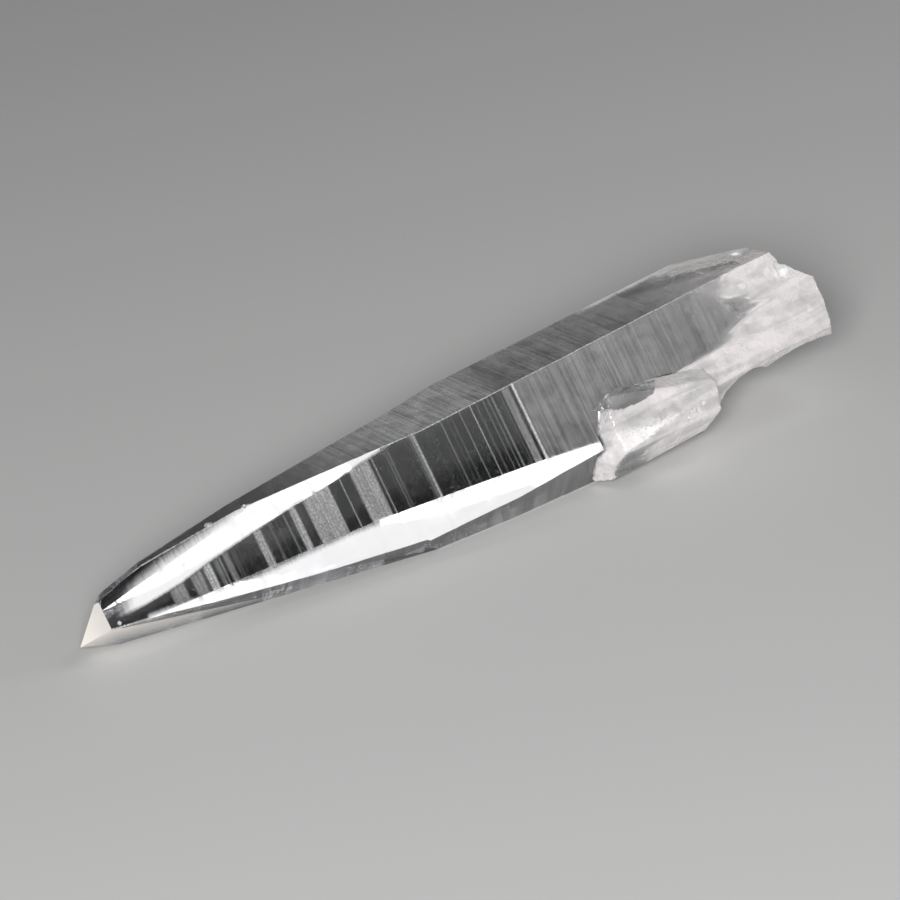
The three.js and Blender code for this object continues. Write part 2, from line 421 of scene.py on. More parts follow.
# %% [markdown]
# ## Lumpy balls that shape the root
#
# The root ends in a dome, hollowed underneath and bitten away at its corners. Each of these is a ball
# stretched to three radii, its skin pushed in and out along its own directions. The dome is kept where it
# overlaps the crystal, and every other ball is taken away from it.

# %% The balls
DOME_FROM = 120.0
DOME = {"at": (122, -2, 0), "radii": (23.45, 18.8, 18.8), "lump": 1.0, "size": 3.2, "step": 0.45}
UNDERCUT = {"at": (135, 4, -12.8), "radii": (18.5, 18, 11.2), "lump": 0.8, "size": 3.0, "step": 0.5}
BREAKS = [
    {"at": (163, -11.6, 20.4), "radii": (30, 30, 30), "lump": 0.8, "size": 2.6, "step": 0.55},
    {"at": (124.5, 9.5, -9.4), "radii": (7.6, 7, 7.8), "lump": 0.5, "size": 2.4, "step": 0.4},
    {"at": (139, -13, 2), "radii": (9, 7, 10), "lump": 0.5, "size": 2.5, "step": 0.4},
    {"at": (149, 3, -3), "radii": (5, 6, 5), "lump": 0.4, "size": 2.0, "step": 0.4},
    {"at": (145, -7, -4), "radii": (5.5, 6, 5), "lump": 0.3, "size": 2.0, "step": 0.4},
]
FLAKE_SIZE, FLAKE_DEPTH, FLAKE_SEED = 2.3, 0.16, 5
GRAIN_SIZE, GRAIN_DEPTH, GRAIN_SEED = 1.1, 0.07, 6


def directions(rows, columns):
    """The directions of a globe's grid, from the pole toward the tip to the pole toward the root. With fall
    as the angle from the first pole: minus cos fall, minus sin fall cos turn, sin fall sin turn."""
    falls = np.linspace(0, np.pi, rows + 2)
    turns = np.linspace(0, math.tau, columns, endpoint=False)
    fall, turn = np.meshgrid(falls, turns, indexing="ij")
    out = np.stack([-np.cos(fall), -np.sin(fall) * np.cos(turn), np.sin(fall) * np.sin(turn)], -1)
    return out.reshape(-1, 3)


def ball(name, at, radii, lump, size, step):
    """A stretched ball: middle plus outward direction times radii, pushed out by lumps, flakes and grain.
    Its poles point along the crystal's axis, so its rows are circles round that direction."""
    rows = int(math.pi * max(radii) / step)
    out = directions(rows, 2 * rows)
    points = place(*at) + out * radii
    push = lump * lumps(points, size)
    push += FLAKE_DEPTH * flakes(points, FLAKE_SIZE, FLAKE_SEED)
    push += GRAIN_DEPTH * grain(points, GRAIN_SIZE, GRAIN_SEED)
    points = (points + out * push[:, None]).reshape(rows + 2, -1, 3)
    return shell_mesh(name, points[1:-1], points[0, 0], points[-1, 0])


dome_mesh = ball("dome", **DOME)
print("the dome has", len(dome_mesh.polygons), "faces")

# %% [markdown]
# ## The side crystal
#
# The small crystal is stubby and its edges are worn. It is one formula on a globe's grid: in each
# direction, a flat facet lies at its reach divided by how squarely the direction meets it, and the
# nearest facet wins. A high power in place of a strict nearest gives edges that are a little round.
# Beside it lies a thin clear spur, a plate that stands a little proud of the front face, and the same
# formula makes it.

# %% The facets of the side crystal and the spur
# A facet is its turn, its lean toward the tip and its reach from the middle.
SIDE_MIDDLE = (104, 5.96, -2.33)
SIDE_FACETS = [
    (30, 1, 5.5), (4, -2, 6.1), (-30, 0, 6.0), (-78, -3, 5.9), (75, -9, 6.2), (150, 0, 3), (210, 0, 3),
    (-30, 62, 12.6), (30, 50, 10.6), (90, 58, 10.8), (-10, -80, 11.5), (-70, -45, 9.9), (60, -50, 11.6),
]
SIDE_MILK = [0.8, 0.8, 0.42, 0.3, 0.9, 0, 0, 0.75, 0.7, 0.6, 0.7, 0.5, 0.7]
SPUR_MIDDLE = (99.7, 6.4, 2.6)
SPUR_EDGES = [
    (120, 17, 2.5), (120, -13, 2.0), (-60, -35, 3.1), (-60, -9, 1.7), (-60, 6, 1.4), (-60, 28, 2.5),
]
SPUR_FACETS = SPUR_EDGES + [(34, 3, 0.65), (210, 0, 2.0)]
print("the side crystal has", len(SIDE_FACETS), "facets and the spur", len(SPUR_FACETS))

# %% The side crystal and the spur, each as a globe's grid
SIDE_GRID = (110, 200)
SPUR_GRID = (60, 120)
EDGE_POWER = 110
WEAR_LUMP, WEAR_LUMP_SIZE = 0.07, 2.0
WEAR_FLAKE, WEAR_FLAKE_SIZE, WEAR_FLAKE_SEED = 0.012, 1.5, 8
WEAR_GRAIN, WEAR_GRAIN_SIZE, WEAR_GRAIN_SEED = 0.010, 0.8, 9
WEAR_LOSS = 0.05


def looks_and_reaches(facets):
    """The directions that facets look in, one to a row, and their reaches."""
    looks = np.array([outward(turned, lean) for turned, lean, _ in facets])
    return looks, np.array([reach for *_, reach in facets])


def facet_ball(name, middle, facets, rows, columns):
    """In each direction: the sum over the facets of (squareness / reach) to a high power, to minus one over
    that power. The skin is then rubbed: pushed by small lumps, flakes and grain, and drawn in a little."""
    out = directions(rows, columns)
    looks, reaches = looks_and_reaches(facets)
    squareness = np.clip(out @ looks.T, 0, 1) / reaches
    top = squareness.max(1)
    far = 1 / (top * ((squareness / top[:, None]) ** EDGE_POWER).sum(1) ** (1 / EDGE_POWER))
    points = place(*middle) + out * far[:, None]
    push = WEAR_LUMP * lumps(points, WEAR_LUMP_SIZE)
    push += WEAR_FLAKE * flakes(points, WEAR_FLAKE_SIZE, WEAR_FLAKE_SEED)
    push += WEAR_GRAIN * grain(points, WEAR_GRAIN_SIZE, WEAR_GRAIN_SEED)
    push -= WEAR_LOSS
    points = (points + out * push[:, None]).reshape(rows + 2, -1, 3)
    return shell_mesh(name, points[1:-1], points[0, 0], points[-1, 0])


side_mesh = facet_ball("side_crystal", SIDE_MIDDLE, SIDE_FACETS, *SIDE_GRID)
spur_mesh = facet_ball("spur", SPUR_MIDDLE, SPUR_FACETS, *SPUR_GRID)
print("their meshes have", len(side_mesh.polygons), "and", len(spur_mesh.polygons), "faces")

# %% [markdown]
# ## One closed stone
#
# The real piece is one body of quartz, with no seam between its crystals. Forms that only push into each
# other would leave walls inside, and clear stone would show them. So they are joined and cut by Booleans.
# The root is cut off, kept only where it is inside the dome, and put back. Then the bites are taken away,
# the side crystal and its spur are added, and small pits are cut.

# %% One Boolean at a time
# A pit is along, side, rise and radius. The first ones are plain, the later ones have bright chipped rims.
PITS = [
    (107.6, 12.2, -2.4, 0.6), (108.8, 12.3, -1.6, 0.7), (110.2, 12.2, -2.1, 0.6), (111.3, 12.1, -1.2, 0.6),
    (96.0, 12.2, 0.4, 0.5), (136.9, 4.6, 10.2, 1.9), (134.3, 4.0, 11.3, 1.6), (138.9, 8.0, 3.6, 1.2),
    (132.9, 9.3, 1.8, 1.3), (133.0, -3.0, 13.4, 1.1), (25.1, -1.0, 10.9, 0.7), (32.0, -0.4, 11.2, 0.8),
    (5.0, 2.8, 3.8, 0.35),
]
FIRST_CHIPPED = 5
PIT_LUMP = 0.45
PIT_LUMPS_ACROSS = 3.5
PIT_STEP = 0.16


def combine(mesh, tool, operation):
    """One mesh joined with, cut by or kept inside another, by a Boolean modifier that is applied at once."""
    stone, other = (bpy.data.objects.new(m.name, m) for m in (mesh, tool))
    for thing in (stone, other):
        bpy.context.scene.collection.objects.link(thing)
    modifier = stone.modifiers.new("combine", "BOOLEAN")
    modifier.operation, modifier.solver, modifier.object = operation, "MANIFOLD", other
    evaluated = stone.evaluated_get(bpy.context.evaluated_depsgraph_get())
    made = bpy.data.meshes.new_from_object(evaluated)
    for thing in (stone, other):
        bpy.data.objects.remove(thing)
    for used in (mesh, tool):
        bpy.data.meshes.remove(used)
    return made


print(len(PITS), "pits and", 1 + len(BREAKS), "bites will be cut")

# %% Joining and cutting
root_mesh = stone_mesh.copy()
cut(root_mesh, place(-1, 0, 0), place(DOME_FROM, 0, 0))
cut(stone_mesh, place(1, 0, 0), place(DOME_FROM, 0, 0))
root_mesh = combine(root_mesh, dome_mesh, "INTERSECT")
stone_mesh = combine(stone_mesh, root_mesh, "UNION")
for i, bite in enumerate([UNDERCUT, *BREAKS]):
    stone_mesh = combine(stone_mesh, ball(f"bite_{i}", **bite), "DIFFERENCE")
stone_mesh = combine(stone_mesh, side_mesh, "UNION")
stone_mesh = combine(stone_mesh, spur_mesh, "UNION")
for along, side, rise, radius in PITS:
    lump_size = radius / PIT_LUMPS_ACROSS
    pit = ball("pit", (along, side, rise), (radius,) * 3, PIT_LUMP * radius, lump_size, PIT_STEP)
    stone_mesh = combine(stone_mesh, pit, "DIFFERENCE")
print("the stone has", len(stone_mesh.polygons), "faces")

# %% [markdown]
# ## Where the stone is frosted and where it is milky
#
# Each corner of a surface face is told six amounts. Frost is the fine etching on the ledges, which shows
# as grey rungs in the dark window of the front face. Satin is a fine brushing of the skin. The third is
# painted light: a pale soft white in the two light bands and on their edges, which stands in for the
# lamps' light that the back faces turn to the eye. Milk is the cloud of tiny fluid bubbles that fills the
# root and the side crystal. Tip is painted light too, a pale glint on the end facets. Edge is the distance
# to the next prism face, for edges that are white partly from wear and partly as a painted highlight.
# They could be painted on by hand. But all six follow the crystal, so they are worked out from a place
# and the face it lies on, and are kept as attributes of the mesh.

# %% The finished mesh, moved onto the solid
FACE_NEAR_MM = 0.6
FACE_SQUARENESS = 0.985
FACE_LOOKS = np.array([outward(face["turn"]) for face in PRISM_FACES])
SMOOTH_UNDER = math.radians(28)
EDGE_FAR = 3.0


def above_faces(points):
    """How far each point stands above each prism face, one column to a face."""
    reaches = np.stack([reach_at(face, points[:, 0]) for face in PRISM_FACES], 1)
    return points @ FACE_LOOKS.T - reaches


def finish_mesh(mesh):
    """Moves the stone into the frame. Returns for each face corner its place in the crystal, the prism face
    it is on or else -1, and how far it is from the next prism face."""
    count = len(mesh.vertices)
    points = np.empty(count * 3)
    mesh.vertices.foreach_get("co", points)
    points = points.reshape(-1, 3)
    normals = np.empty(len(mesh.polygons) * 3)
    mesh.polygons.foreach_get("normal", normals)
    sizes, verts = np.empty(len(mesh.polygons), int), np.empty(len(mesh.loops), int)
    mesh.polygons.foreach_get("loop_total", sizes)
    mesh.loops.foreach_get("vertex_index", verts)
    normals = np.repeat(normals.reshape(-1, 3), sizes, axis=0)
    corners = points[verts]
    gaps = np.abs(above_faces(corners))
    edge = np.sort(gaps, 1)[:, 1]
    squareness = normals @ FACE_LOOKS.T
    squareness[gaps > FACE_NEAR_MM] = 0
    on_face = np.where(squareness.max(1) > FACE_SQUARENESS, squareness.argmax(1), -1)
    mesh.vertices.foreach_set("co", to_frame(points).ravel())
    mesh.polygons.foreach_set("use_smooth", np.ones(len(mesh.polygons), bool))
    mesh.update()
    mesh.set_sharp_from_angle(angle=SMOOTH_UNDER)
    return corners, on_face, edge


corners, on_face, edge = finish_mesh(stone_mesh)
edge[on_face < 0] = EDGE_FAR
edge = np.minimum(edge, EDGE_FAR)
print("share of corners on prism faces:", round(float((on_face >= 0).mean()), 2))

# %% The rungs and the window of the front face
# A rung is its start, its end and its strength. CLEAR_ABOVE and CLEAR_BELOW give the window's upper and
# lower edge, as height across the front face by place along the axis.
FRONT_FROST = [
    (14.5, 17.3, 0.45), (18.5, 20.7, 0.4), (21, 22.6, 0.8), (23, 24, 0.3), (24.1, 24.4, 1.2),
    (24.8, 26, 0.35), (31, 32.6, 0.7), (34.05, 34.3, 1.2), (35.2, 35.4, 0.5), (36.9, 37.15, 1.2),
    (38, 39.4, 0.7), (40.8, 46, 0.62), (48, 48.25, 1.2), (50, 54, 0.6), (54.4, 54.7, 1.3),
    (56.4, 56.6, 0.7), (62.1, 62.4, 1.3), (62.4, 63.1, 0.7), (69.2, 69.4, 0.6), (71.7, 71.9, 0.6),
    (73.9, 74.2, 1.2), (76.5, 76.7, 1.1), (77.4, 77.6, 1.1), (80.2, 81.8, 0.45), (82.2, 82.9, 1.3),
    (88.2, 88.4, 0.4), (95.1, 95.4, 0.3),
]
CLEAR_ABOVE = [
    (5.3, 2.2), (16.7, 3.3), (22.7, 4.4), (32.6, 5.7), (40.5, 6.7), (49.5, 7.6), (56.6, 8.5), (60.0, 20.0),
]
CLEAR_BELOW = [(6.6, 1.3), (18.6, 0), (27.3, -0.9), (45.7, -1.3), (64.0, -2.8), (78.8, -4.5), (90.8, -6.5)]
CLEAR_SHARE = 0.2
FROST_RUN = 0.25
LEDGE_FROST = 0.35
CHIP_RIM, CHIP_FROST = 0.25, 1.3
HAIR_LINES = 45
HAIR_FROM, HAIR_TO = 20, 126
HAIR_LENGTHS = (0.1, 0.5)
HAIR_RUN = 0.12
HAIR_FROST = (0.02, 0.3)
HAIR_FROST_BEHIND = (0.0, 0.12)
HAIR_FADE_FROM, HAIR_FADE_TO = 98, 106
FROST_SEED = 70
FRONT_SIDE, FRONT_RISE = 0.5, 0.866
print("the front face has", len(FRONT_FROST), "frosted rungs")


# %% Frost on the ledges
def table(along, pairs):
    """The value at each place along the axis, on straight stretches between the pairs."""
    return np.interp(along, *np.transpose(pairs))


def height_of(points):
    """How high a point stands across the front face, which is turned up by 30 degrees."""
    return FRONT_RISE * points[:, 2] + FRONT_SIDE * points[:, 1]


def frost_on(face, points, seed):
    """The frost of one face: its measured rungs, or else its ledges, and hair lines by chance in between.
    The hair lines fade before the milky root. Outside its window the front face has almost no frost."""
    along = points[:, 0]
    rungs = FRONT_FROST
    if face is not FRONT_FACE:
        rungs = [(start, end, LEDGE_FROST) for start, end, _ in face["bands"]]
    frost = steps(along, *np.transpose(rungs), FROST_RUN)
    chance = np.random.default_rng(seed)
    starts = chance.uniform(HAIR_FROM, HAIR_TO, HAIR_LINES)
    strengths = chance.uniform(*(HAIR_FROST if face is FRONT_FACE else HAIR_FROST_BEHIND), HAIR_LINES)
    strengths *= np.interp(starts, (HAIR_FADE_FROM, HAIR_FADE_TO), (1, 0))
    hairs = steps(along, starts, starts + chance.uniform(*HAIR_LENGTHS, HAIR_LINES), strengths, HAIR_RUN)
    frost = np.maximum(frost, hairs)
    if face is FRONT_FACE:
        height = height_of(points)
        from_edges = np.minimum(table(along, CLEAR_ABOVE) - height, height - table(along, CLEAR_BELOW))
        frost = frost * np.clip(from_edges + 0.5, CLEAR_SHARE, 1)
    return frost


frost = np.zeros(len(corners))
for i, face in enumerate(PRISM_FACES):
    here = on_face == i
    if face not in (REST_FACE, TOP_FACE):
        frost[here] = frost_on(face, corners[here], FROST_SEED + i)
for along, side, rise, radius in PITS[FIRST_CHIPPED:]:
    far = np.linalg.norm(corners - place(along, side, rise), axis=1)
    frost[far < radius + CHIP_RIM] = CHIP_FROST
print("mean frost", round(float(frost.mean()), 3))

# %% Where satin and the painted band light lie
# Pairs are a place along the axis and a value: an amount, a side, or a height across the front face.
TOP_SATIN = [
    (8, 0.03), (30, 0.05), (42, 0.10), (50, 0.26), (64, 0.36), (76, 0.34), (82, 0.14), (88, 0.24), (97, 0.2),
    (112, 0.17), (130, 0.2),
]
FRONT_SATIN = [(82.4, 0.0), (83.2, 0.15), (100, 0.17), (112, 0.15), (124, 0.12)]
STRIP_SATIN = [(8, 0.05), (30, 0.06), (55, 0.08), (88, 0.12)]
DARK_STRIPE = [(112, -7.5), (115.4, -6.6), (129.1, -1.2), (131, -0.5)]
STRIPE_HALF_WIDTH = 1.8
STRIPE_START, STRIPE_END = 112, 131
BEVEL_FROM = [(100, -10.0), (106, -9.3), (118, -8.3), (124, -7.6), (128, -5.3), (134, -2.4)]
BEVEL_START, BEVEL_RUN, BEVEL_SATIN = 102, 0.5, 0.95
# Painted light: a pale white laid in and along the two light bands of the front face, where the lamps' light
# through the back faces falls short.
BAND_PAINT_ABOVE = [
    (4.7, 3.8), (12.3, 5.3), (17.4, 6.4), (22.4, 7.2), (27.3, 7.9), (31.4, 8.8), (40, 10), (58, 10),
]
BAND_PAINT_FADE, BAND_PAINT_AT_FADE = 4.2, 0.8
HIGH_BAND_PAINT_RUN, LOW_BAND_PAINT_RUN = 1.0, 1.9
HIGH_BAND_PAINT_START, HIGH_BAND_PAINT_GROWS, HIGH_BAND_PAINT_END = 3.5, 7, 58
LOW_BAND_PAINT_START, LOW_BAND_PAINT_END = 9, 92
print("the two light bands bloom as far as", HIGH_BAND_PAINT_END, "and", LOW_BAND_PAINT_END, "mm")


# %% Satin and painted band light
def off_stripe(points):
    """Nothing in the middle of the top face's dark slanting stripe, and one outside it."""
    along, side = points[:, 0], -points[:, 1]
    far = np.abs(side - table(along, DARK_STRIPE)) / STRIPE_HALF_WIDTH
    return np.where((along > STRIPE_START) & (along < STRIPE_END), np.clip(far**2, 0, 1), 1)


def satin_on_top(points):
    """Satin along the top face, none in its dark stripe, and much on the rubbed back edge near the root."""
    along, side = points[:, 0], -points[:, 1]
    bevel = np.clip((table(along, BEVEL_FROM) - side) / BEVEL_RUN, 0, 1) * (along > BEVEL_START)
    return np.maximum(table(along, TOP_SATIN) * off_stripe(points), BEVEL_SATIN * bevel)


def band_light_paint_on_front(points):
    """Painted light in the two light bands: a ramp that is one half at their edges, rising into them over a
    short run. The high band fades upward over a longer one."""
    along, height = points[:, 0], height_of(points)
    into_high = (height - table(along, CLEAR_ABOVE)) / HIGH_BAND_PAINT_RUN + 0.5
    fading = (table(along, BAND_PAINT_ABOVE) - height) / BAND_PAINT_FADE + BAND_PAINT_AT_FADE
    growing = np.clip((along - HIGH_BAND_PAINT_START) / HIGH_BAND_PAINT_GROWS, 0, 1)
    high = np.minimum(into_high, fading) * (along < HIGH_BAND_PAINT_END) * growing
    into_low = (table(along, CLEAR_BELOW) - height) / LOW_BAND_PAINT_RUN + 0.5
    low = into_low * (along < LOW_BAND_PAINT_END) * np.clip(along - LOW_BAND_PAINT_START, 0, 1)
    return np.clip(np.maximum(high, low), 0, 1)


on_top, on_front, on_strip = (
    on_face == PRISM_FACES.index(face) for face in (TOP_FACE, FRONT_FACE, LOWER_FRONT_FACE))
satin, band_light_paint = np.zeros(len(corners)), np.zeros(len(corners))
satin[on_top] = satin_on_top(corners[on_top])
satin[on_front] = table(corners[on_front, 0], FRONT_SATIN)
satin[on_strip] = table(corners[on_strip, 0], STRIP_SATIN)
# Painted light: pale white in and along the two light bands of the front face.
band_light_paint[on_front] = band_light_paint_on_front(corners[on_front])
print("mean satin", round(float(satin.mean()), 3), "mean bloom", round(float(band_light_paint.mean()), 3))

# %% Milk in the root and the side crystal
VEIL_EDGE = [
    (-6.0, 100.0), (-0.9, 109.0), (-0.6, 114.0), (0.2, 121.0), (2.0, 126.6), (3.0, 129.0), (5.6, 128.0),
    (10.7, 126.5), (12.5, 119.0), (15.0, 114.0),
]
VEIL_BACK = 124.0
VEIL_RUN = 9.0
VEIL_TURN_WIDTH = 6
VEIL_BEND, VEIL_BEND_SIZE, VEIL_SEED = 0.8, 7.0, 21
SIDE_BLEND = 45
SIDE_START, SIDE_END = 85, 121
PROUD_RUN = 0.4
SPUR_MILK = 0.42
SPUR_MARGIN = 0.1


def milk_at(points):
    """How far a point is past the edge of the veil, from 0 to 1 over two runs. At the front the edge goes by
    the height, and at the back it lies square. What stands proud of the prism is the side crystal or the
    spur. The side crystal takes the milk of its nearest facet, blended across the edges. The spur has one
    amount."""
    along = points[:, 0]
    out_front = FRONT_SIDE * points[:, 2] - FRONT_RISE * points[:, 1]
    toward_front = np.clip(out_front / VEIL_TURN_WIDTH + 0.5, 0, 1)
    edge = VEIL_BACK + (table(height_of(points), VEIL_EDGE) - VEIL_BACK) * toward_front
    edge = edge + VEIL_BEND * grain(points, VEIL_BEND_SIZE, VEIL_SEED)
    root = np.clip((along - edge) / VEIL_RUN / 2 + 0.5, 0, 1)
    proud = above_faces(points).max(1)
    looks, reaches = looks_and_reaches(SIDE_FACETS)
    nearness = np.clip((points - place(*SIDE_MIDDLE)) @ looks.T, 0, None) / reaches
    nearness = (nearness / nearness.max(1, keepdims=True)) ** SIDE_BLEND
    by_facet = nearness @ SIDE_MILK / nearness.sum(1)
    looks, reaches = looks_and_reaches(SPUR_EDGES)
    past_spur = ((points - place(*SPUR_MIDDLE)) @ looks.T - reaches).max(1)
    by_facet = np.where(past_spur < SPUR_MARGIN, SPUR_MILK, by_facet)
    beside = np.clip(proud / PROUD_RUN, 0, 1) * (along > SIDE_START) * (along < SIDE_END) * by_facet
    return np.maximum(root, beside)


milk = milk_at(corners)
milk[on_top] *= off_stripe(corners[on_top])
print("share that is milky:", round(float((milk > 0.5).mean()), 2))

# %% The painted glint of the tip, and all amounts on the mesh
# Painted light: the three tip facets in front and below are painted pale for a glint, the lower two paler
# because less light falls on them.
TIP_LENGTH, TIP_RUN = 5.0, 0.3
TIP_GLINT_AMOUNTS = (1.0, 1.33, 1.33)
ON_FACET_MM = 0.02


def tip_glint_at(points):
    """Painted light: an amount for each of the three tip facets in front and below, and nothing elsewhere,
    for a pale glint. The lower two get more, because less light falls on them."""
    looks = np.array([outward(turn, lean) for turn, lean in TIP_FACETS[:3]])
    off = np.abs((points - place(*APEX)) @ looks.T)
    amount = np.take(TIP_GLINT_AMOUNTS, off.argmin(1)) * (off.min(1) < ON_FACET_MM)
    return amount * np.clip(1 + (TIP_LENGTH - points[:, 0]) / TIP_RUN, 0, 1)


tip = tip_glint_at(corners)
amounts = {"frost": frost, "satin": satin, "band_light_paint": band_light_paint, "milk": milk, "tip": tip, "edge": edge}
for name, values in amounts.items():
    stone_mesh.attributes.new(name, "FLOAT", "CORNER").data.foreach_set("value", values)
print("the mesh carries", ", ".join(amounts))

# %% [markdown]
# ## Clear, frosted and milky stone in one material
#
# Quartz is glass to the eye: it passes light, bends it by 1.544, and takes almost none of it. One
# Principled shader carries that. Frost and satin make it rougher and a little white. Milk takes away most
# of its clearness and leaves a soft warm white. Painted light whitens the two light bands, the tip facets
# and, together with wear, the edges in the same way. Real milk lies under the skin and glows with the light
# that comes through the stone. So where the surface is seen from inside it stays clear, but as rough as
# it is milky, and passes a soft light on in place of turning dark. The index and the absorption are plain
# numbers on their own sockets.

# %% A short way to write nodes
def add_node(tree, kind, **values):
    """A node with inputs set by name, with spaces as underscores, or by number, as i0. A value that is a
    socket is linked."""
    made = tree.nodes.new(kind)
    for name, value in values.items():
        socket = made.inputs[int(name[1:])] if name[1:].isdigit() else made.inputs[name.replace("_", " ")]
        if isinstance(value, bpy.types.NodeSocket):
            tree.links.new(value, socket)
        else:
            socket.default_value = value
    return made


def calculate(tree, operation, *values):
    """A Math node's result, held between 0 and 1."""
    made = add_node(tree, "ShaderNodeMath", **{f"i{i}": value for i, value in enumerate(values)})
    made.operation = operation
    made.use_clamp = True
    return made.outputs[0]


def add_up(tree, *values):
    """A plain sum, which may pass 1."""
    made = add_node(tree, "ShaderNodeMath", **{f"i{i}": value for i, value in enumerate(values)})
    return made.outputs[0]


def attribute(tree, name):
    """One of the amounts that the mesh carries."""
    made = tree.nodes.new("ShaderNodeAttribute")
    made.attribute_name = name
    return made.outputs["Fac"]


print("helpers for nodes, sums and amounts are ready")

# %% Places and noises
NOISE_TURN = (0.6, 0.8, 0.5)


def crystal_place(tree):
    """The Object coordinates turned back into crystal millimetres."""
    made = add_node(
        tree, "ShaderNodeMapping", Vector=tree.nodes.new("ShaderNodeTexCoord").outputs["Object"],
        Location=(crystal_at * MM).tolist(), Rotation=(0, -AXIS_CLIMB, 0), Scale=(MM, MM, MM))
    made.vector_type = "TEXTURE"
    return made.outputs[0]


def spread(tree, value, low, high):
    """0 at low and 1 at high, with an easy run between."""
    made = add_node(tree, "ShaderNodeMapRange", Value=value, From_Min=low, From_Max=high)
    made.interpolation_type = "SMOOTHSTEP"
    return made.outputs[0]


def noise(tree, where, stretch, detail, low, high, bent):
    """Noise on a stretched copy of the place, with low to high spread over 0 to 1. A turn keeps its own
    lattice from lying square to the crystal's faces."""
    stretched = add_node(tree, "ShaderNodeMapping", Vector=where, Scale=stretch)
    turned = add_node(tree, "ShaderNodeMapping", Vector=stretched.outputs[0], Rotation=NOISE_TURN)
    made = add_node(
        tree, "ShaderNodeTexNoise", Vector=turned.outputs[0], Scale=1.0, Detail=detail, Distortion=bent)
    return spread(tree, made.outputs["Fac"], low, high)


print("helpers for places and noises are ready")

# %% The numbers of the quartz material
QUARTZ_IOR = 1.544
CLEAR_COLOUR = (0.97, 0.97, 0.98, 1)
MILK_COLOUR = (0.80, 0.755, 0.745, 1)
# Painted light: the warm pale colour of the tip facets, for their glint.
TIP_GLINT_COLOUR = (0.76, 0.72, 0.67, 1)
ABSORBED_COLOUR = (0.60, 0.61, 0.64, 1)
ABSORBED_PER_METRE = 12.0

# Each noise: waves per millimetre along, to the side and up, then its detail, the two values that are spread
# to 0 and 1, and how far it is bent.
NOISES = {
    "fibres": ((2.6, 0.12, 0.12), 2, 0.25, 0.75, 0.0),
    "specks": ((3.0, 3.0, 3.0), 3, 0.25, 0.75, 0.0),
    "dust": ((3.6, 3.6, 3.6), 3, 0.58, 0.78, 0.0),
    "brushed": ((2.6, 0.05, 0.05), 3, 0.3, 0.7, 0.0),
    "wisps": ((0.10, 0.26, 0.26), 4, 0.25, 0.75, 0.6),
    "streaks": ((0.07, 0.45, 0.45), 4, 0.3, 0.7, 0.8),
    "mottle": ((0.4, 0.4, 0.4), 5, 0.3, 0.7, 0.5),
    "sugar": ((1.3, 1.3, 1.3), 2, 0.2, 0.8, 0.0),
}
# Where a pair stands after a noise's name, the noise is multiplied by the first and the second is added.
FROST_FIBRES, FROST_SPECKS = (0.4, 0.6), (0.5, 0.5)
# The white along the prism edges, partly wear and partly a painted edge highlight: none past the first
# distance from the edge, full within the second, broken up by specks.
EDGE_WEAR_AND_GLINT_NONE_MM, EDGE_WEAR_AND_GLINT_FULL_MM, EDGE_WEAR_AND_GLINT_SPECKS = 0.22, 0.02, (0.5, 0.15)
SATIN_BRUSHED, SATIN_MOTTLE, SATIN_LEAST = 0.6, 0.4, 0.5
RAGGED_BRUSHED, RAGGED_SPECKS, RAGGED_SHARE = 0.5, 0.2, 0.16
# Painted band light: the amount where its white starts and the amount where it is full.
BAND_PAINT_FROM, BAND_PAINT_TO = 0.22, 0.9
DRIFT_STREAKS, DRIFT_MOTTLE = 0.34, (0.22, 0.46)
WISP_SHARE = 0.30
HAZE_FROM, HAZE_TO, HAZE_WHITE = 0.2, 0.75, 0.35
MILK_FROM, MILK_TO = 0.45, 0.85
BRIM_FROM, BRIM_PEAK, BRIM_TO, BRIM_STREAKS = 0.54, 0.66, 0.78, (0.9, 0.1)
# How white frost, the painted band light, dust and the painted tip glint make the stone.
FROST_WHITE, BAND_PAINT_WHITE, DUST_WHITE, TIP_GLINT_WHITE = 0.65, 0.78, 0.22, 0.75
SKIN_ROUGH, MILK_ROUGH, FROST_ROUGH, SATIN_ROUGH = 0.02, 0.3, 0.4, 0.7
SUGAR_HEIGHT_MM = 0.08
print("quartz bends light by", QUARTZ_IOR, "and has", len(NOISES), "noises")


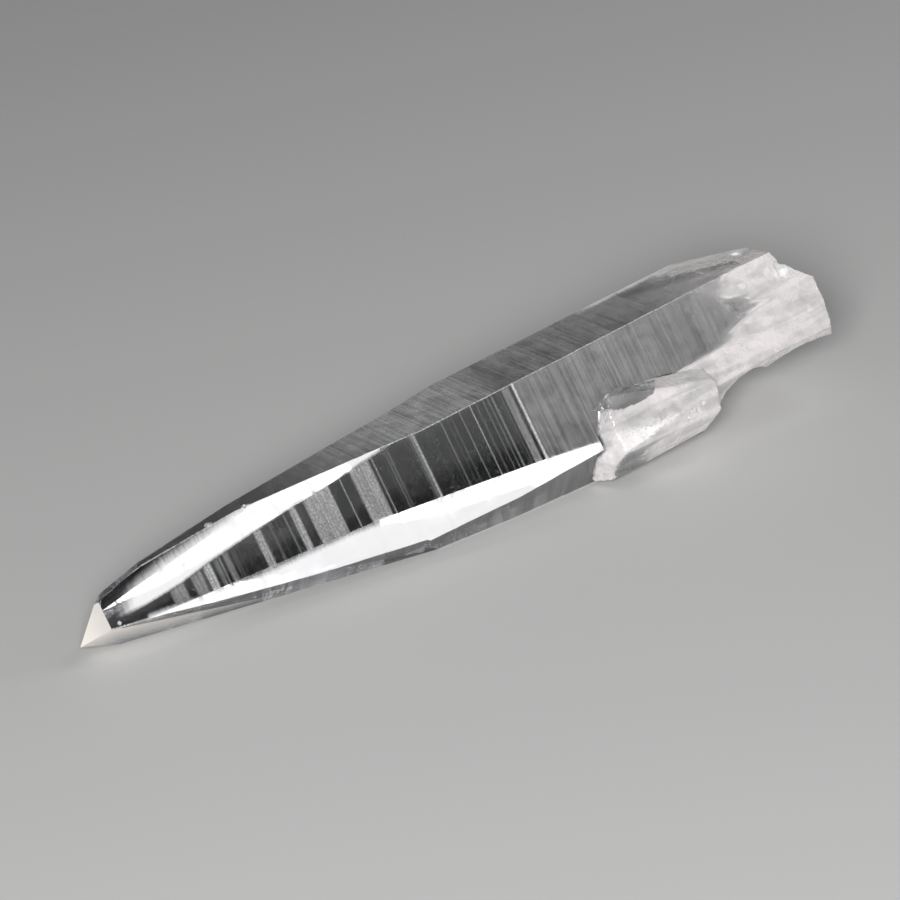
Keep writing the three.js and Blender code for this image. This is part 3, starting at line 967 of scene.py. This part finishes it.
# %% What the amounts become in the material
def skin_amounts(tree, noises):
    """Frost broken up by fibres and specks, the white edges by specks, satin by brushing, and the painted
    light of the bands made ragged. The white edges are partly wear and partly a painted highlight.
    """
    fibres, specks, brushed, mottle = (noises[name] for name in ("fibres", "specks", "brushed", "mottle"))
    broken_up = calculate(
        tree, "MULTIPLY", calculate(tree, "MULTIPLY_ADD", fibres, *FROST_FIBRES),
        calculate(tree, "MULTIPLY_ADD", specks, *FROST_SPECKS))
    frost = calculate(tree, "MULTIPLY", attribute(tree, "frost"), broken_up)
    # Wear and painted highlight: white along the prism edges.
    edge_wear_and_glint = spread(tree, attribute(tree, "edge"), EDGE_WEAR_AND_GLINT_NONE_MM, EDGE_WEAR_AND_GLINT_FULL_MM)
    edge_wear_and_glint = calculate(tree, "MULTIPLY", edge_wear_and_glint, calculate(tree, "MULTIPLY_ADD", specks, *EDGE_WEAR_AND_GLINT_SPECKS))
    grained = calculate(tree, "MULTIPLY", mottle, SATIN_MOTTLE)
    grained = calculate(tree, "MULTIPLY_ADD", brushed, SATIN_BRUSHED, grained)
    satin = calculate(tree, "MULTIPLY", attribute(tree, "satin"), add_up(tree, grained, SATIN_LEAST))
    ragged = calculate(tree, "MULTIPLY", specks, RAGGED_SPECKS)
    ragged = calculate(tree, "MULTIPLY_ADD", brushed, RAGGED_BRUSHED, ragged)
    # Painted light: the pale white of the two light bands, made ragged by brushing and specks.
    band_light_paint = calculate(tree, "MULTIPLY_ADD", ragged, RAGGED_SHARE, attribute(tree, "band_light_paint"))
    band_light_paint = calculate(tree, "MULTIPLY", spread(tree, band_light_paint, BAND_PAINT_FROM, BAND_PAINT_TO), BAND_PAINT_WHITE)
    return frost, edge_wear_and_glint, satin, band_light_paint


def milk_amount(tree, noises):
    """A thin haze that starts early, thicker milk in drifts behind it, and a bright veil where that begins.
    Wisps bend the front of all three."""
    past = calculate(tree, "MULTIPLY_ADD", noises["wisps"], WISP_SHARE, attribute(tree, "milk"))
    haze = calculate(tree, "MULTIPLY", spread(tree, past, HAZE_FROM, HAZE_TO), HAZE_WHITE)
    drifts = calculate(tree, "MULTIPLY_ADD", noises["mottle"], *DRIFT_MOTTLE)
    drifts = calculate(tree, "MULTIPLY_ADD", noises["streaks"], DRIFT_STREAKS, drifts)
    thick = calculate(tree, "MULTIPLY", spread(tree, past, MILK_FROM, MILK_TO), drifts)
    front = calculate(
        tree, "SUBTRACT", spread(tree, past, BRIM_FROM, BRIM_PEAK), spread(tree, past, BRIM_PEAK, BRIM_TO))
    streaked = calculate(tree, "MULTIPLY_ADD", noises["streaks"], *BRIM_STREAKS)
    brim = calculate(tree, "MULTIPLY", front, streaked)
    return calculate(tree, "MAXIMUM", calculate(tree, "MAXIMUM", haze, thick), brim)


def mix_colours(tree, share, first, second):
    """The first colour at share 0 and the second at 1."""
    made = add_node(tree, "ShaderNodeMix", i0=share, i6=first, i7=second)
    made.data_type = "RGBA"
    return made.outputs[2]


print("amounts become frost, wear, satin, bloom and milk")


# %% The quartz material
def quartz_material():
    """Whiteness is the greatest of all amounts, painted light among them, and the shader is clear by what is
    left of it.
    """
    material = bpy.data.materials.new("quartz")
    material.use_nodes = True
    tree = material.node_tree
    where = crystal_place(tree)
    noises = {name: noise(tree, where, *values) for name, values in NOISES.items()}
    frost, edge_wear_and_glint, satin, band_light_paint = skin_amounts(tree, noises)
    milk = milk_amount(tree, noises)
    dust = calculate(tree, "MULTIPLY", noises["dust"], DUST_WHITE)
    tip = attribute(tree, "tip")
    pale = mix_colours(tree, calculate(tree, "SUBTRACT", milk, frost), CLEAR_COLOUR, MILK_COLOUR)
    # Painted light: the tip facets turn to the warm pale glint colour.
    colour = mix_colours(tree, tip, pale, TIP_GLINT_COLOUR)
    whiteness = calculate(tree, "MAXIMUM", calculate(tree, "MULTIPLY", frost, FROST_WHITE), milk)
    # The painted band light, the painted tip glint and the painted edge highlight add to the whiteness here.
    for other in (edge_wear_and_glint, satin, band_light_paint, dust, calculate(tree, "MULTIPLY", tip, TIP_GLINT_WHITE)):
        whiteness = calculate(tree, "MAXIMUM", whiteness, other)
    inside = tree.nodes.new("ShaderNodeNewGeometry").outputs["Backfacing"]
    clearness = calculate(tree, "MAXIMUM", calculate(tree, "SUBTRACT", 1.0, whiteness), inside)
    roughness = calculate(tree, "MULTIPLY_ADD", milk, MILK_ROUGH, SKIN_ROUGH)
    roughness = calculate(tree, "MULTIPLY_ADD", frost, FROST_ROUGH, roughness)
    brushing = calculate(tree, "MULTIPLY", satin, calculate(tree, "SUBTRACT", 1.0, milk))
    roughness = calculate(tree, "MULTIPLY_ADD", brushing, SATIN_ROUGH, roughness)
    cloudy = calculate(tree, "MULTIPLY", calculate(tree, "MAXIMUM", milk, frost), inside)
    roughness = calculate(tree, "MAXIMUM", roughness, cloudy)
    bump = add_node(
        tree, "ShaderNodeBump", Strength=milk, Distance=SUGAR_HEIGHT_MM * MM, Height=noises["sugar"])
    shader = tree.nodes["Principled BSDF"]
    shader.inputs["IOR"].default_value = QUARTZ_IOR
    for name, value in (
        ("Base Color", colour), ("Transmission Weight", clearness),
        ("Roughness", roughness), ("Normal", bump.outputs[0]),
    ):
        tree.links.new(value, shader.inputs[name])
    absorption = add_node(
        tree, "ShaderNodeVolumeAbsorption", Color=ABSORBED_COLOUR, Density=ABSORBED_PER_METRE)
    tree.links.new(absorption.outputs[0], tree.nodes["Material Output"].inputs["Volume"])
    return material


quartz = quartz_material()
print("the quartz material has", len(quartz.node_tree.nodes), "nodes")

# %% The stone in its material
stone_mesh.materials.clear()
stone_mesh.materials.append(quartz)
stone_mesh.name = "quartz"
stone = bpy.data.objects.new("quartz", stone_mesh)
bpy.context.scene.collection.objects.link(stone)
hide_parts(SOLID)
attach(stone, "root")
print("the stone stands for", SOLID)

# %% [markdown]
# ## The floor, the lamps and the camera
#
# The picture is taken from a little above, with a long lens. The camera is rolled by some degrees, so
# that the crystal runs from the lower left to the upper right. Clear stone shows mostly what is round it.
# A key lamp near the camera lights the floor and the milk. Light isn't followed through the stone to the
# floor, so the stone shades the floor behind and below it, and that shade and the dim room keep the
# window of the front face deep. Three small soft lamps behind the stone feed the faces at its back that
# turn light back to the eye, which gives the two white bands. Painted light on the front face fills the
# bands out where these paths fall short.

# %% The floor and the room
FLOOR_SIZE = 6.0
FLOOR_COLOUR = (0.78, 0.78, 0.77, 1)
FLOOR_ROUGH = 0.6
FLOOR_GAP = 0.00002
ROOM_COLOUR = (0.03, 0.031, 0.033, 1)


def plain_material(name, colour, roughness):
    """One colour and one roughness all over."""
    material = bpy.data.materials.new(name)
    material.use_nodes = True
    shader = material.node_tree.nodes["Principled BSDF"]
    shader.inputs["Base Color"].default_value = colour
    shader.inputs["Roughness"].default_value = roughness
    return material


def make_floor():
    """A square round the origin, a hair below the stone."""
    half = FLOOR_SIZE / 2
    mesh = bpy.data.meshes.new("floor")
    sides = ((-half, -half), (half, -half), (half, half), (-half, half))
    mesh.from_pydata([(x, y, -FLOOR_GAP) for x, y in sides], [], [(0, 1, 2, 3)])
    mesh.materials.append(plain_material("floor", FLOOR_COLOUR, FLOOR_ROUGH))
    floor = bpy.data.objects.new("floor", mesh)
    bpy.context.scene.collection.objects.link(floor)


def make_room():
    """The same dim light from all round."""
    world = bpy.data.worlds.new("room")
    world.use_nodes = True
    world.node_tree.nodes["Background"].inputs["Color"].default_value = ROOM_COLOUR
    bpy.context.scene.world = world


make_floor()
make_room()
print("a plain pale floor", FLOOR_SIZE, "m across")

# %% The lamps
LAMPS = [
    {"name": "low_band_lamp", "at": (0.780, -0.2385, 0.380), "size": (0.27, 0.27), "glow": 1.9},
    {"name": "high_band_lamp", "at": (0.536, -0.075, 0.719), "size": (0.30, 0.30), "glow": 1.9},
    {"name": "right_card", "at": (0.803, -0.375, 0.156), "size": (0.30, 0.28), "glow": 1.9},
    {"name": "key_lamp", "at": (-0.6775, -0.867, 0.4785), "size": (0.42, 0.26), "glow": 46.0},
]


def add_lamp(name, at, size, glow):
    """A soft lamp that faces the stone. Glow is how bright its face is, so its power grows with its size."""
    lamp = bpy.data.lights.new(name, "AREA")
    lamp.shape = "RECTANGLE"
    lamp.size, lamp.size_y = size
    lamp.energy = glow * math.pi * size[0] * size[1]
    thing = bpy.data.objects.new(name, lamp)
    back = np.array(at) / np.linalg.norm(at)
    right = np.cross((0, 0, 1), back)
    right /= np.linalg.norm(right)
    set_place(thing, right, np.cross(back, right), back, at)
    bpy.context.scene.collection.objects.link(thing)


def set_place(thing, right, up, back, at):
    """Turns and moves a camera or a lamp, which look along their own -Z with Y up."""
    turned = np.eye(4)
    turned[:3] = np.stack([right, up, back, at], 1)
    thing.matrix_world = turned.T


for lamp in LAMPS:
    add_lamp(**lamp)
print(len(LAMPS), "soft lamps")

# %% The camera
CAMERA_AT = (-0.3772, -0.5448, 0.2943)
CAMERA_AZIMUTH = math.radians(-34.53)
CAMERA_ELEVATION = math.radians(23.17)
CAMERA_ROLL = math.radians(-5.46)
LENS_MM = 182.93
SENSOR_MM = 36.0
CLIP_START, CLIP_END = 0.05, 20


def make_camera():
    """A long lens that looks down at the stone, level at first and then rolled."""
    lens = bpy.data.cameras.new("camera")
    lens.lens, lens.sensor_width = LENS_MM, SENSOR_MM
    lens.clip_start, lens.clip_end = CLIP_START, CLIP_END
    camera = bpy.data.objects.new("camera", lens)
    across = math.cos(CAMERA_ELEVATION)
    back = np.array([
        math.sin(CAMERA_AZIMUTH) * across, -math.cos(CAMERA_AZIMUTH) * across, math.sin(CAMERA_ELEVATION)])
    level = np.array([math.cos(CAMERA_AZIMUTH), math.sin(CAMERA_AZIMUTH), 0])
    right = math.cos(CAMERA_ROLL) * level + math.sin(CAMERA_ROLL) * np.cross(back, level)
    set_place(camera, right, np.cross(back, right), back, CAMERA_AT)
    bpy.context.scene.collection.objects.link(camera)
    bpy.context.scene.camera = camera


make_camera()
print("the camera stands", round(float(np.linalg.norm(CAMERA_AT)), 3), "m away")

# %% How light is followed
# No caustics: light through clear stone then throws no bright spots, and the stone casts a plain shadow.
scene = bpy.context.scene
scene.view_settings.view_transform = "Standard"
scene.cycles.max_bounces = 24
scene.cycles.transmission_bounces = 24
scene.cycles.glossy_bounces = 12
scene.cycles.diffuse_bounces = 6
scene.cycles.use_denoising = True
scene.cycles.caustics_refractive = False
scene.cycles.caustics_reflective = False
print("light is followed through", scene.cycles.max_bounces, "bounces")
